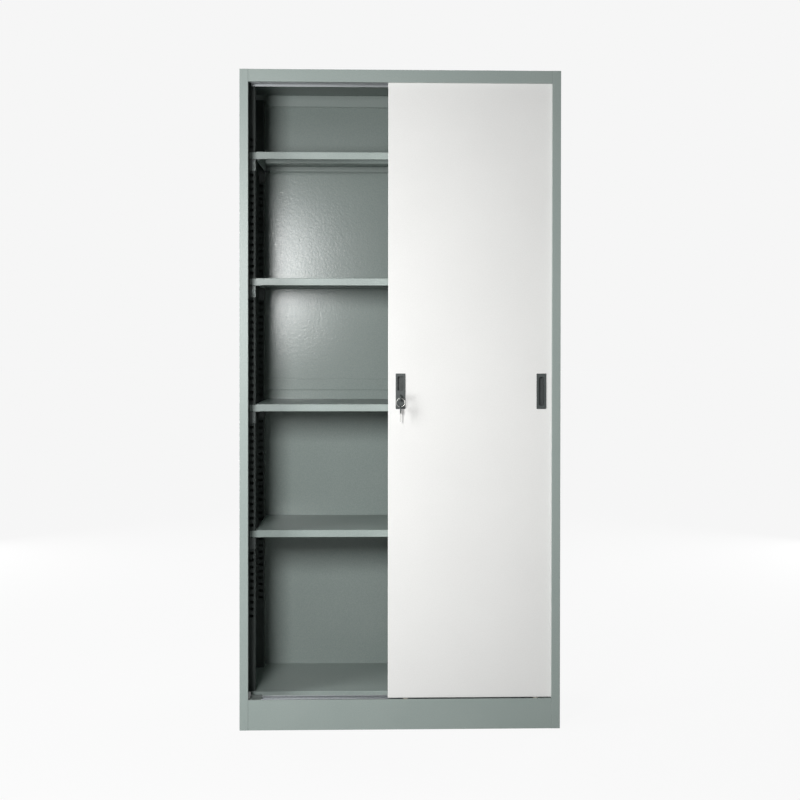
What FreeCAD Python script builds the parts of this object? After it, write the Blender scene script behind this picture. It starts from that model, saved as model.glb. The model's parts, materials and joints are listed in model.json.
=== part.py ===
import FreeCAD, Part
import math
import os

V = FreeCAD.Vector

# A steel office cupboard with two sliding doors. Millimetres; the origin is the middle of the
# footprint on the floor, +X to the right seen from the front, +Y to the back, +Z up.

# Overall size
WIDTH = 900.0
DEPTH = 400.0
HEIGHT = 1850.0

# Sheet steel, the outer radius of its folds, and the gaps between neighbouring panels
SHEET = 0.8
BEND = 0.8
SEAM = 0.2
PANEL_GAP = 0.4

# Side panels: front stile, its return, rear flange and foot flange
STILE = 24.0
STILE_RETURN = 8.0
REAR_FLANGE = 15.0
FOOT_FLANGE = 20.0
FOOT_SETBACK = 10.0

# Top panel: front rail, its return, side and rear flanges
RAIL = 35.0
RAIL_RETURN = 8.0
TOP_SIDE_FLANGE = 21.0
TOP_REAR_FLANGE = 39.0

# Plinth and bottom deck
PLINTH = 85.0
PLINTH_LIP = 3.0
PLINTH_SHELF = 22.0
PLINTH_FOOT = 20.0
DECK_RISE = 3.0
DECK_BEHIND_LANE = 20.0
DECK_SIDE_FLANGE = 20.0
DECK_REAR_FLANGE = 30.0
DECK_LIP = 27.0

# Door lanes, as depths behind the front face, and the two tracks
LANE_FRONT = 23.0
LANE_PITCH = 34.0
TRACK_DROP = 13.8
TRACK_END_GAP = 1.0
RIB = 2.0
RIB_RISE = 10.0
TOP_TRACK_DROP = 31.2
TOP_TRACK_REAR_DROP = 34.2
STOP_GAP = 0.5
STOP_WIDTH = 12.0
STOP_RISE = 12.0

# Back panels and the joint strip between them
BACK_JOINT_HEIGHT = 955.0
BACK_JOINT_COVER = 35.0
BACK_JOINT = 2.4
BACK_JOINT_ROUND = 2.0
BACK_EDGE = 1.0

# Slotted uprights
UPRIGHT_WIDTH = 34.5
UPRIGHT_DEPTH = 30.0
UPRIGHT_SETBACK = 3.0
UPRIGHT_BACK = 50.0
UPRIGHT_TOP_GAP = 3.0
SLOT_WIDTH = 13.0
SLOT_HEIGHT = 8.0
SLOT_PITCH = 20.0
SLOT_EDGE = 3.0
SLOT_FIRST = 304.0
SLOT_END = 160.0

# Shelves and their clips
SHELF_COUNT = 4
SHELF_FIRST = 550.0
TOP_SPACE = 210.0
SHELF_LIP = 20.0
SHELF_RETURN = 12.0
SHELF_SIDE_GAP = 1.5
SHELF_EAR = 16.0
SHELF_SETBACK = 1.0
SHELF_BACK_GAP = 3.0
SHELF_CORNER = 4.0
HAT_FOOT = 14.0
SHELF_HAT_WIDTH = 40.0
SHELF_HAT_DEPTH = 12.0
SHELF_HAT_END = 12.0
CLIP = 1.4
CLIP_HEIGHT = 34.0
CLIP_REACH = 16.0
CLIP_LEDGE = 20.0
CLIP_PLAY = 0.6
CLIP_HOOK = 3.5
CLIP_HOOK_DROP = 5.0
CLIP_HOOK_GAP = 0.3

# Doors
DOOR_DEPTH = 25.0
DOOR_BEHIND_STILE = 6.0
DOOR_OVERLAP = 70.0
DOOR_FLOOR_GAP = 1.0
DOOR_HEAD = 13.0
DOOR_LIP = 12.0
DOOR_EDGE_RADIUS = 1.4
DOOR_HAT_WIDTH = 60.0
DOOR_HAT_DEPTH = 18.0
DOOR_HAT_END = 20.0

# Rollers, their brackets and axles
ROLLER_INSET = 50.0
ROLLER_RADIUS = 9.0
ROLLER_FLANGE = 2.5
ROLLER_WIDTH = 9.0
ROLLER_GROOVE = 3.0
ROLLER_GAP = 0.3
ROLLER_ROOM = 2.0
AXLE = 3.0
AXLE_PLAY = 0.05
BRACKET = 1.5
BRACKET_LENGTH = 40.0
BRACKET_WIDTH = 13.0
BRACKET_FOOT = 4.0
BRACKET_RISE = 19.0

# Top guides
GUIDE_INSET = 60.0
GUIDE_LENGTH = 40.0
GUIDE_HEIGHT = 11.0
GUIDE_PLAY = 0.4
GUIDE_TENON = 8.0
GUIDE_TENON_PLAY = 0.2
GUIDE_TENON_LENGTH = 6.0

# Recessed pulls and the lock plate share one outline
HANDLE_HEIGHT = 950.0
PLATE_WIDTH = 27.5
PLATE_HEIGHT = 100.0
PLATE_RISE = 1.6
PLATE_CORNER = 2.0
BODY_WIDTH = 23.0
BODY_HEIGHT = 94.0
CUTOUT_GAP = 0.4
PULL_WIDTH = 15.0
PULL_HEIGHT = 82.0
PULL_RECESS = 13.0
PULL_DEPTH = 15.0
RECESS_WIDTH = 17.0
RECESS_TOP = 42.0
RECESS_BOTTOM = 2.0
RECESS_DEPTH = 13.0
RECESS_CORNER = 3.0

# Lock barrel, plug, bolt and keys
LOCK_DEPTH = 20.0
PLUG_DROP = 18.0
BARREL = 8.0
BARREL_RISE = 0.6
BARREL_FIT = 0.05
PLUG = 5.5
PLUG_RISE = 0.4
PLUG_PLAY = 0.05
CAM_LENGTH = 9.0
CAM_WIDTH = 8.0
CAM = 2.0
CAM_GAP = 0.4
BOLT_DROP = 34.0
BOLT_WIDTH = 7.6
BOLT_HEIGHT = 7.0
BOLT_PLAY = 0.4
BOLT_START = 5.5
BOLT_END = 24.5
STRIKE_WIDTH = 18.0
STRIKE_HEIGHT = 36.0
STRIKE = 1.0
STRIKE_ROOM = 1.2
STRIKE_CORNER = 3.0
KEY = 1.6
KEY_NECK = 0.5
KEY_BLADE = 6.0
KEY_BLADE_LENGTH = 22.0
KEY_TANG = 8.0
KEY_HEAD = 3.6
KEY_HEAD_RADIUS = 9.0
KEY_HEAD_LENGTH = 22.0
KEY_HEAD_PLAY = 0.05
KEY_EYE = 2.8
KEY_EYE_OUT = 4.7
KEYWAY_PLAY = 0.2
KEY_CUTS = 4
KEY_CUT = 1.4
RING_RADIUS = 12.0
RING_WIRE = 0.8
RING_DROP = 1.0

# Places worked out from the sizes above
FRONT = -DEPTH / 2
REAR = DEPTH / 2
SKIN = WIDTH / 2 - SHEET
STILE_EDGE = WIDTH / 2 - STILE
BACK_FACE = REAR - 2 * SHEET
DECK_TOP = PLINTH + DECK_RISE
DECK_FRONT = LANE_FRONT + LANE_PITCH + DECK_BEHIND_LANE
TRACK_FLOOR = PLINTH - TRACK_DROP
RIB_TOP = TRACK_FLOOR + SHEET + RIB_RISE
UPRIGHT_INNER = WIDTH / 2 - UPRIGHT_WIDTH
UPRIGHT_TOP = HEIGHT - TOP_SIDE_FLANGE - UPRIGHT_TOP_GAP
UPRIGHT_FRONT = DECK_FRONT + UPRIGHT_SETBACK
UPRIGHT_REAR = DEPTH - UPRIGHT_BACK
SHELF_FRONT = DECK_FRONT + SHELF_SETBACK
SHELF_STEPS = int((HEIGHT - TOP_SPACE - SHELF_FIRST) / SLOT_PITCH / (SHELF_COUNT - 1))
SHELF_HALF = UPRIGHT_INNER - SHELF_SIDE_GAP
SHELF_TOPS = [SHELF_FIRST + i * SHELF_STEPS * SLOT_PITCH for i in range(SHELF_COUNT)]
DOOR_RIGHT = STILE_EDGE + DOOR_BEHIND_STILE
DOOR_WIDTH = DOOR_RIGHT + DOOR_OVERLAP / 2
DOOR_LEFT = DOOR_RIGHT - DOOR_WIDTH
DOOR_BOTTOM = PLINTH + DOOR_FLOOR_GAP
DOOR_TOP = HEIGHT - RAIL + DOOR_HEAD
HANDLE_INSET = DOOR_OVERLAP / 2
LOCK_X = DOOR_LEFT + HANDLE_INSET
PULL_X = DOOR_RIGHT - HANDLE_INSET
PLUG_Z = HANDLE_HEIGHT - PLUG_DROP
BOLT_Z = HANDLE_HEIGHT - BOLT_DROP
FRONT_LANE = FRONT + LANE_FRONT
REAR_LANE = FRONT_LANE + LANE_PITCH
LANES = {"front": FRONT_LANE, "rear": REAR_LANE}
AXLE_Z = RIB_TOP + ROLLER_GAP + ROLLER_RADIUS
X_AXIS = V(1, 0, 0)
Y_AXIS = V(0, 1, 0)


def block(x, y, z):
    """A box between two limits along each axis."""
    return Part.makeBox(x[1] - x[0], y[1] - y[0], z[1] - z[0], V(x[0], y[0], z[0]))


def rod(x, z, y, radius):
    """A cylinder along Y."""
    return Part.makeCylinder(radius, y[1] - y[0], V(x, y[0], z), Y_AXIS)


def join(shapes):
    """One solid from touching shapes, with the leftover seams removed."""
    whole = shapes[0].multiFuse(shapes[1:]) if len(shapes) > 1 else shapes[0]
    return whole.removeSplitter()


def handed(shape, hand):
    """The right-hand shape for +1, and its mirror image for -1."""
    return shape if hand > 0 else shape.mirror(V(0, 0, 0), X_AXIS)


def middle_block(x, z, y, width, height):
    """A block along Y placed by its middle in front view."""
    return block((x - width / 2, x + width / 2), y, (z - height / 2, z + height / 2))


def face_block(x, z, y, width, height, radius):
    """A middle_block whose corners are rounded in front view."""
    solid = middle_block(x, z, y, width, height)
    corners = [e for e in solid.Edges if abs(e.tangentAt(e.FirstParameter).y) > 0.9]
    return solid.makeFillet(radius, corners)


def oblong(x, z, y, width, height):
    """A block along Y with half-round ends, upright in front view."""
    half = (height - width) / 2
    middle = block((x - width / 2, x + width / 2), y, (z - half, z + half))
    ends = [rod(x, z + side * half, y, width / 2) for side in (-1, 1)]
    return join([middle] + ends)


def corner_edges(previous, corner, following, radius, start):
    """The straight run from start into a corner, the arc round it if it is rounded, and where that ends."""
    into = (corner - previous).normalize()
    out = (following - corner).normalize()
    half_turn = into.getAngle(out) / 2
    reach = radius * math.tan(half_turn)
    arc_start = corner - into * reach
    arc_end = corner + out * reach
    inward = (out - into).normalize()
    arc_middle = corner + inward * (radius / math.cos(half_turn) - radius)
    edges = [Part.LineSegment(start, arc_start).toShape()]
    if radius > 0:
        edges.append(Part.Arc(arc_start, arc_middle, arc_end).toShape())
    return edges, arc_end


def rounded_line(points, radii):
    """The edges of an open line whose inner corners have the given radii, 0 for a sharp one."""
    edges = []
    start = points[0]
    for i in range(1, len(points) - 1):
        added, start = corner_edges(points[i - 1], points[i], points[i + 1], radii[i - 1], start)
        edges += added
    edges.append(Part.LineSegment(start, points[-1]).toShape())
    return edges


def offset_line(line, thickness):
    """The line's points moved to its left by the sheet's thickness, with mitred corners."""
    ways = [(b - a).normalize() for a, b in zip(line, line[1:])]
    lefts = [V(-w.y, w.x, 0) for w in ways]
    moved = [line[0] + lefts[0] * thickness]
    for before, after, corner in zip(lefts, lefts[1:], line[1:]):
        moved.append(corner + (before + after) * (thickness / (1 + before.dot(after))))
    moved.append(line[-1] + lefts[-1] * thickness)
    return moved


def bent_sheet(outline, along, span):
    """A folded strip of sheet: its outer line follows the outline, with the sheet to the left of it.

    The outline lies across the axis named by along, and span gives the strip's limits on it."""
    line = [V(u, v, 0) for u, v in outline]
    offset = offset_line(line, SHEET)
    outer_radii, inner_radii = [], []
    for before, corner, after in zip(line, line[1:], line[2:]):
        turns_left = (corner - before).cross(after - corner).z > 0
        outer_radii.append(BEND if turns_left else 0)
        inner_radii.append(0 if turns_left else BEND)
    edges = rounded_line(line, outer_radii)
    edges.append(Part.LineSegment(line[-1], offset[-1]).toShape())
    edges += rounded_line(offset[::-1], inner_radii[::-1])
    edges.append(Part.LineSegment(offset[0], line[0]).toShape())
    face = Part.Face(Part.Wire(Part.__sortEdges__(edges)))
    strip = face.extrude(V(0, 0, span[1] - span[0]))
    return stand(strip, along, span[0])


def stand(strip, along, start):
    """Turns a strip drawn flat and pulled up Z so that it runs along the named axis from start."""
    if along == "x":
        strip.rotate(V(0, 0, 0), V(1, 1, 1), 120)
        strip.translate(V(start, 0, 0))
    elif along == "y":
        strip.rotate(V(0, 0, 0), X_AXIS, 90)
        strip = strip.mirror(V(0, 0, 0), Y_AXIS)
        strip.translate(V(0, start, 0))
    else:
        strip.translate(V(0, 0, start))
    return strip


def filled(points, along, span):
    """A prism with the closed outline given by points, along the named axis."""
    loop = [V(u, v, 0) for u, v in points]
    face = Part.Face(Part.makePolygon(loop + loop[:1]))
    return stand(face.extrude(V(0, 0, span[1] - span[0])), along, span[0])


def crimped_sheet(outline, along, span, thickness):
    """A folded strip like bent_sheet, with tight folds, for small and hidden pieces."""
    line = [V(u, v, 0) for u, v in outline]
    loop = line + offset_line(line, thickness)[::-1]
    return filled([(p.x, p.y) for p in loop], along, span)


def side_panel(hand):
    """Outer skin with the front stile, the rear flange and the foot flange folded from it."""
    outline = [
        (STILE_EDGE, FRONT + STILE_RETURN),
        (STILE_EDGE, FRONT),
        (WIDTH / 2, FRONT),
        (WIDTH / 2, REAR),
        (WIDTH / 2 - REAR_FLANGE, REAR),
    ]
    wall = bent_sheet(outline, "z", (0, HEIGHT))
    foot_y = (FRONT + FOOT_SETBACK, BACK_FACE - PANEL_GAP)
    foot = block((WIDTH / 2 - FOOT_FLANGE, SKIN + SHEET / 2), foot_y, (0, SHEET))
    notch_y = (FRONT + SHEET + SEAM, FRONT + STILE_RETURN + SEAM)
    notch = block((STILE_EDGE - SEAM, SKIN), notch_y, (HEIGHT - SHEET - PANEL_GAP, HEIGHT))
    return handed(join([wall, foot]).cut(notch), hand)


def wings(edge, inner, top, drop, y):
    """The two L-shaped sides of a tray: part of its plate and the flange folded down from it."""
    outline = [(edge, top - drop), (edge, top), (inner, top)]
    right = bent_sheet(outline, "y", y)
    return [right, handed(right, -1)]


def top_panel():
    """Roof tray whose front flange is the rail over the doors."""
    inner = STILE_EDGE - SEAM
    outline = [
        (BACK_FACE, HEIGHT - TOP_REAR_FLANGE),
        (BACK_FACE, HEIGHT),
        (FRONT, HEIGHT),
        (FRONT, HEIGHT - RAIL),
        (FRONT + RAIL_RETURN, HEIGHT - RAIL),
    ]
    tray = bent_sheet(outline, "x", (-inner, inner))
    wing_y = (FRONT + SHEET + PANEL_GAP, BACK_FACE - SHEET - BEND)
    return join([tray] + wings(SKIN - SEAM, inner, HEIGHT, TOP_SIDE_FLANGE, wing_y))


def plinth():
    """Kick plate with a folded top edge, a ledge for the track and a foot."""
    inner = STILE_EDGE - SEAM
    outline = [
        (FRONT + PLINTH_LIP + PLINTH_SHELF, TRACK_FLOOR),
        (FRONT + PLINTH_LIP, TRACK_FLOOR),
        (FRONT + PLINTH_LIP, PLINTH),
        (FRONT, PLINTH),
        (FRONT, 0),
        (FRONT + PLINTH_FOOT, 0),
    ]
    return bent_sheet(outline, "x", (-inner, inner))


def bottom_deck():
    """Floor tray of the cupboard, with a front flange and a lip that carries the track."""
    inner = STILE_EDGE
    front = FRONT + DECK_FRONT
    outline = [
        (BACK_FACE, DECK_TOP - DECK_REAR_FLANGE),
        (BACK_FACE, DECK_TOP),
        (front, DECK_TOP),
        (front, TRACK_FLOOR),
        (front - DECK_LIP, TRACK_FLOOR),
    ]
    tray = bent_sheet(outline, "x", (-inner, inner))
    wing_y = (front + SHEET + BEND, BACK_FACE - SHEET - BEND)
    return join([tray] + wings(SKIN - PANEL_GAP, inner, DECK_TOP, DECK_SIDE_FLANGE, wing_y))


def bottom_track():
    """Floor plate with one round-topped rib under the middle of each door."""
    half = STILE_EDGE - TRACK_END_GAP
    y = (FRONT + PLINTH_LIP + BEND + SEAM, FRONT + DECK_FRONT - BEND - SEAM)
    floor = TRACK_FLOOR + SHEET
    pieces = [block((-half, half), y, (TRACK_FLOOR, floor))]
    for lane in LANES.values():
        rib_y = (lane - RIB / 2, lane + RIB / 2)
        crown = RIB_TOP - RIB / 2
        pieces.append(block((-half, half), rib_y, (floor, crown)))
        pieces.append(Part.makeCylinder(RIB / 2, 2 * half, V(-half, lane, crown), X_AXIS))
    return join(pieces)


def top_track():
    """Channel under the roof whose three hanging flanges make the two door lanes."""
    half = STILE_EDGE - TRACK_END_GAP
    roof = HEIGHT - SHEET
    ceiling = roof - SHEET
    low = HEIGHT - SHEET - TOP_TRACK_DROP
    rear_low = HEIGHT - SHEET - TOP_TRACK_REAR_DROP
    middle = (FRONT_LANE + REAR_LANE) / 2
    first = middle - LANE_PITCH
    last = middle + LANE_PITCH
    web = SHEET / 2
    points = [
        (first - web, roof), (last + web, roof), (last + web, rear_low), (last - web, rear_low),
        (last - web, ceiling), (middle + web, ceiling), (middle + web, low), (middle - web, low),
        (middle - web, ceiling), (first + web, ceiling), (first + web, low), (first - web, low),
    ]
    return filled(points, "x", (-half, half))


def track_stops():
    """Rubber blocks pushed over the rib ends, where the rollers come to rest."""
    stops = []
    outer = STILE_EDGE - TRACK_END_GAP
    floor = TRACK_FLOOR + SHEET
    rim = ROLLER_RADIUS + ROLLER_FLANGE
    reach = math.sqrt(rim ** 2 - (AXLE_Z - floor - STOP_RISE) ** 2)
    inner = roller_places()[1] + reach + STOP_GAP
    for lane in LANES.values():
        for side in (-1, 1):
            x = sorted((side * outer, side * inner))
            body = block(x, (lane - STOP_WIDTH / 2, lane + STOP_WIDTH / 2), (floor, floor + STOP_RISE))
            upper = [e for e in body.Edges if min(v.Z for v in e.Vertexes) > floor + STOP_RISE / 2]
            body = body.makeChamfer(STOP_WIDTH / 8, upper)
            slit = block((x[0] - 1, x[1] + 1), (lane - RIB / 2, lane + RIB / 2), (floor, RIB_TOP))
            stops.append(body.cut(slit))
    return Part.Compound(stops)


def back_panel(bottom, top):
    """Flat rear sheet, welded to the side panels' rear flanges."""
    half = SKIN - BEND - PANEL_GAP
    return block((-half, half), (BACK_FACE, BACK_FACE + SHEET), (bottom, top))


def back_joint_strip():
    """H-shaped strip across the back that takes the edges of both rear sheets."""
    half_cover = BACK_JOINT_COVER / 2
    z = (BACK_JOINT_HEIGHT - half_cover, BACK_JOINT_HEIGHT + half_cover)
    inside = SKIN - PANEL_GAP
    between = WIDTH / 2 - REAR_FLANGE - BACK_EDGE
    web_z = (BACK_JOINT_HEIGHT - SHEET / 2, BACK_JOINT_HEIGHT + SHEET / 2)
    cover = block((-inside, inside), (BACK_FACE - BACK_JOINT, BACK_FACE), z)
    rims = [e for e in cover.Edges if e.Length > inside and e.BoundBox.YMax < BACK_FACE - BACK_JOINT / 2]
    return join([
        cover.makeFillet(BACK_JOINT_ROUND, rims),
        block((-between, between), (BACK_FACE, BACK_FACE + SHEET), web_z),
        block((-between, between), (BACK_FACE + SHEET, REAR), z),
    ])


def slot_heights():
    """Middles of an upright's slots."""
    count = int((UPRIGHT_TOP - SLOT_END - SLOT_FIRST) / SLOT_PITCH) + 1
    return [SLOT_FIRST + i * SLOT_PITCH for i in range(count)]


def upright(hand, front):
    """Channel against the side panel, slotted down its front flange for the shelf clips."""
    y = FRONT + front
    outline = [
        (SKIN, y + UPRIGHT_DEPTH),
        (UPRIGHT_INNER, y + UPRIGHT_DEPTH),
        (UPRIGHT_INNER, y),
        (SKIN, y),
    ]
    channel = crimped_sheet(outline, "z", (DECK_TOP, UPRIGHT_TOP), SHEET)
    slot_x = (UPRIGHT_INNER + SLOT_EDGE, UPRIGHT_INNER + SLOT_EDGE + SLOT_WIDTH)
    slots = []
    for z in slot_heights():
        slots.append(block(slot_x, (y - 1, y + SHEET + BEND), (z - SLOT_HEIGHT / 2, z + SLOT_HEIGHT / 2)))
    return handed(channel.cut(Part.Compound(slots)), hand)


def shelf(top):
    """Tray shelf: folded front lip with a return, rear and side lips, and an ear at each end."""
    front = FRONT + SHELF_FRONT
    back = BACK_FACE - SHELF_BACK_GAP
    low = top - SHELF_LIP
    inner = SHELF_HALF - SHELF_CORNER
    outline = [
        (back, low),
        (back, top),
        (front, top),
        (front, low),
        (front + SHELF_RETURN, low),
    ]
    tray = bent_sheet(outline, "x", (-inner, inner))
    sides = wings(SHELF_HALF, inner, top, SHELF_LIP, (front + SHELF_CORNER, back - SHELF_CORNER))
    pieces = [tray] + sides
    for side in (-1, 1):
        x = sorted((side * inner, side * (SHELF_HALF + SHELF_EAR)))
        pieces.append(block(x, (front, front + SHEET), (low, top - SHEET - BEND)))
    return join(pieces)


def hat_outline(middle, base, width, height, foot):
    """Half-open hat section drawn on the side of its base line away from the middle."""
    rise = -height
    return [
        (middle + width / 2, base),
        (middle + width / 2 - foot, base),
        (middle + width / 2 - foot, base + rise),
        (middle - width / 2 + foot, base + rise),
        (middle - width / 2 + foot, base),
        (middle - width / 2, base),
    ]


def shelf_stiffeners():
    """Hat channel welded along the underside of each shelf."""
    half = SHELF_HALF - SHELF_CORNER - SHELF_HAT_END
    middle = (FRONT + SHELF_FRONT + BACK_FACE - SHELF_BACK_GAP) / 2
    hats = []
    for top in SHELF_TOPS:
        outline = hat_outline(middle, top - SHEET, SHELF_HAT_WIDTH + 2 * HAT_FOOT, SHELF_HAT_DEPTH, HAT_FOOT)
        hats.append(crimped_sheet(outline, "x", (-half, half), SHEET))
    return Part.Compound(hats)


def shelf_clip(hand, flange, seat):
    """Angle clip: a plate hooked into two slots, a cheek beside the upright and a ledge under the shelf."""
    y = FRONT + flange
    inner = UPRIGHT_INNER - CLIP_PLAY
    low = seat - CLIP_HEIGHT
    hook_x = (UPRIGHT_INNER + SLOT_EDGE + CLIP_PLAY, UPRIGHT_INNER + SLOT_EDGE + SLOT_WIDTH - CLIP_PLAY)
    plate = block((inner - CLIP, hook_x[1]), (y - CLIP, y), (low, seat - CLIP - BEND))
    cheek = block((inner - CLIP, inner), (y - CLIP, y + CLIP_LEDGE), (low, seat))
    ledge = block((inner - CLIP_REACH, inner), (y, y + CLIP_LEDGE), (seat - CLIP, seat))
    behind = y + SHEET + CLIP_HOOK_GAP
    hooks = []
    for z in [h for h in slot_heights() if low < h - SLOT_HEIGHT / 2 and h < seat]:
        sill = z - SLOT_HEIGHT / 2
        hooks.append(filled(
            [(y, sill), (behind, sill), (behind, sill - CLIP_HOOK_DROP),
             (behind + CLIP, sill - CLIP_HOOK_DROP), (behind + CLIP, sill + CLIP_HOOK),
             (y, sill + CLIP_HOOK)],
            "x", hook_x))
    return handed(join([plate, cheek, ledge] + hooks), hand)


def shelf_clips():
    """Four clips under each shelf."""
    clips = []
    for top in SHELF_TOPS:
        for flange in (UPRIGHT_FRONT, UPRIGHT_REAR):
            for hand in (-1, 1):
                clips.append(shelf_clip(hand, flange, top - SHELF_LIP))
    return Part.Compound(clips)


def strike_slot(y):
    """The bolt's slot, with room all round the bolt."""
    room = 2 * STRIKE_ROOM
    return middle_block(PULL_X, BOLT_Z, y, BOLT_WIDTH + room, BOLT_HEIGHT + room)


def door_cutouts(face, door):
    """What is cut from a door's skin: two handle places, or a handle place and the bolt's slot."""
    through = (face - 1, face + SHEET + 1)
    size = (BODY_WIDTH + 2 * CUTOUT_GAP, BODY_HEIGHT + 2 * CUTOUT_GAP)
    cuts = [middle_block(LOCK_X, HANDLE_HEIGHT, through, *size)]
    if door == "front":
        cuts.append(middle_block(PULL_X, HANDLE_HEIGHT, through, *size))
    else:
        cuts.append(strike_slot(through))
    return cuts


def door_panel(door):
    """Folded pan: front skin, four edges, and a lip all round its open back."""
    lane = LANES[door]
    face = lane - DOOR_DEPTH / 2
    rear = lane + DOOR_DEPTH / 2
    pan = block((DOOR_LEFT, DOOR_RIGHT), (face, rear), (DOOR_BOTTOM, DOOR_TOP))
    rim = [e for e in pan.Edges if e.BoundBox.YMax < lane]
    pan = pan.makeFillet(DOOR_EDGE_RADIUS, rim)
    cuts = [
        block((DOOR_LEFT + SHEET, DOOR_RIGHT - SHEET), (face + SHEET, rear - SHEET),
              (DOOR_BOTTOM + SHEET, DOOR_TOP - SHEET)),
        block((DOOR_LEFT + DOOR_LIP, DOOR_RIGHT - DOOR_LIP), (rear - DOOR_LIP / 2, rear + 1),
              (DOOR_BOTTOM + DOOR_LIP, DOOR_TOP - DOOR_LIP)),
    ]
    cuts += door_cutouts(face, door)
    half_slot = ROLLER_RADIUS + ROLLER_FLANGE + ROLLER_ROOM
    half_wide = ROLLER_WIDTH / 2 + ROLLER_ROOM
    for x in roller_places():
        cuts.append(block((x - half_slot, x + half_slot), (lane - half_wide, lane + half_wide),
                          (DOOR_BOTTOM - 1, DOOR_BOTTOM + SHEET + 1)))
    hole = GUIDE_TENON / 2 + GUIDE_TENON_PLAY
    for x in guide_places():
        cuts.append(block((x - hole, x + hole), (lane - hole, lane + hole),
                          (DOOR_TOP - SHEET - 1, DOOR_TOP + 1)))
    return pan.cut(Part.Compound(cuts))


def door_stiffener(door):
    """Upright hat channel welded down the middle of the skin's inner face."""
    inner = LANES[door] - DOOR_DEPTH / 2 + SHEET
    middle = (DOOR_LEFT + DOOR_RIGHT) / 2
    outline = hat_outline(middle, -inner, DOOR_HAT_WIDTH + 2 * HAT_FOOT, DOOR_HAT_DEPTH, HAT_FOOT)
    flat = crimped_sheet(outline, "z", (DOOR_BOTTOM + DOOR_HAT_END, DOOR_TOP - DOOR_HAT_END), SHEET)
    return flat.mirror(V(0, 0, 0), Y_AXIS)


def roller_places():
    """Middles of a door's two rollers, left then right."""
    return [DOOR_LEFT + ROLLER_INSET, DOOR_RIGHT - ROLLER_INSET]


def guide_places():
    """Middles of a door's two top guides."""
    return [DOOR_LEFT + GUIDE_INSET, DOOR_RIGHT - GUIDE_INSET]


def roller(door, x):
    """Grooved nylon wheel that straddles the rib."""
    half, groove = ROLLER_WIDTH / 2, ROLLER_GROOVE / 2
    outer = ROLLER_RADIUS + ROLLER_FLANGE
    bore = AXLE + AXLE_PLAY
    points = [
        (bore, -half), (outer, -half), (ROLLER_RADIUS, -groove),
        (ROLLER_RADIUS, groove), (outer, half), (bore, half),
    ]
    loop = [V(r, w, 0) for r, w in points]
    wheel = Part.Face(Part.makePolygon(loop + loop[:1])).revolve(V(0, 0, 0), Y_AXIS, 360)
    wheel.translate(V(x, LANES[door], AXLE_Z))
    return wheel


def roller_brackets(door):
    """Hat-shaped brackets on the door's bottom edge, with the axle of a roller between their cheeks."""
    lane = LANES[door]
    base = DOOR_BOTTOM + SHEET
    half = BRACKET_LENGTH / 2
    width = BRACKET_WIDTH + 2 * BRACKET_FOOT
    outline = hat_outline(lane, -base, width, BRACKET_RISE, BRACKET_FOOT)
    brackets = []
    for x in roller_places():
        hat = crimped_sheet(outline, "x", (x - half, x + half), BRACKET)
        hat = hat.mirror(V(0, 0, 0), V(0, 0, 1))
        axle = rod(x, AXLE_Z, (lane - BRACKET_WIDTH / 2, lane + BRACKET_WIDTH / 2), AXLE)
        brackets.append(join([hat, axle]))
    return Part.Compound(brackets)


def top_guides(door):
    """Nylon sliders on the door's top edge, each tenoned through it and held between two flanges."""
    lane = LANES[door]
    half = (LANE_PITCH - SHEET) / 2 - GUIDE_PLAY
    tenon = GUIDE_TENON / 2
    guides = []
    for x in guide_places():
        slider = block((x - GUIDE_LENGTH / 2, x + GUIDE_LENGTH / 2), (lane - half, lane + half),
                       (DOOR_TOP, DOOR_TOP + GUIDE_HEIGHT))
        ends = [e for e in slider.Edges if abs(e.tangentAt(e.FirstParameter).z) > 0.9]
        slider = slider.makeChamfer(GUIDE_HEIGHT / 3, ends)
        foot = block((x - tenon, x + tenon), (lane - tenon, lane + tenon),
                     (DOOR_TOP - GUIDE_TENON_LENGTH, DOOR_TOP))
        guides.append(join([slider, foot]))
    return Part.Compound(guides)


def handle_blank(face, x, depth):
    """The plate on the skin and the body behind it that pulls and lock share."""
    plate = face_block(x, HANDLE_HEIGHT, (face - PLATE_RISE, face), PLATE_WIDTH, PLATE_HEIGHT, PLATE_CORNER)
    rim = [e for e in plate.Edges if e.BoundBox.YMax < face - PLATE_RISE / 2]
    plate = plate.makeChamfer(PLATE_RISE / 2, rim)
    body = middle_block(x, HANDLE_HEIGHT, (face, face + depth), BODY_WIDTH, BODY_HEIGHT)
    return join([plate, body])


def pull(door, x):
    """Recessed finger pull with a half-round at each end of its well."""
    face = LANES[door] - DOOR_DEPTH / 2
    well = (face - PLATE_RISE - 1, face - PLATE_RISE + PULL_RECESS)
    return handle_blank(face, x, PULL_DEPTH).cut(oblong(x, HANDLE_HEIGHT, well, PULL_WIDTH, PULL_HEIGHT))


def lock_housing():
    """Lock plate with a finger well above and the barrel and bolt channel below."""
    face = FRONT_LANE - DOOR_DEPTH / 2
    shell = handle_blank(face, LOCK_X, LOCK_DEPTH)
    outside = face - PLATE_RISE
    well_z = HANDLE_HEIGHT + (RECESS_TOP + RECESS_BOTTOM) / 2
    well = face_block(LOCK_X, well_z, (outside - 1, outside + RECESS_DEPTH), RECESS_WIDTH,
                      RECESS_TOP - RECESS_BOTTOM, RECESS_CORNER)
    seat = rod(LOCK_X, PLUG_Z, (outside - 1, face + LOCK_DEPTH + 1), BARREL + BARREL_FIT)
    channel = middle_block(LOCK_X, BOLT_Z, (face + BOLT_START - BOLT_PLAY, face + LOCK_DEPTH + 1),
                           BOLT_WIDTH + 2 * BOLT_PLAY, BOLT_HEIGHT + 2 * BOLT_PLAY)
    return shell.cut(Part.Compound([well, seat, channel]))


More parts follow.
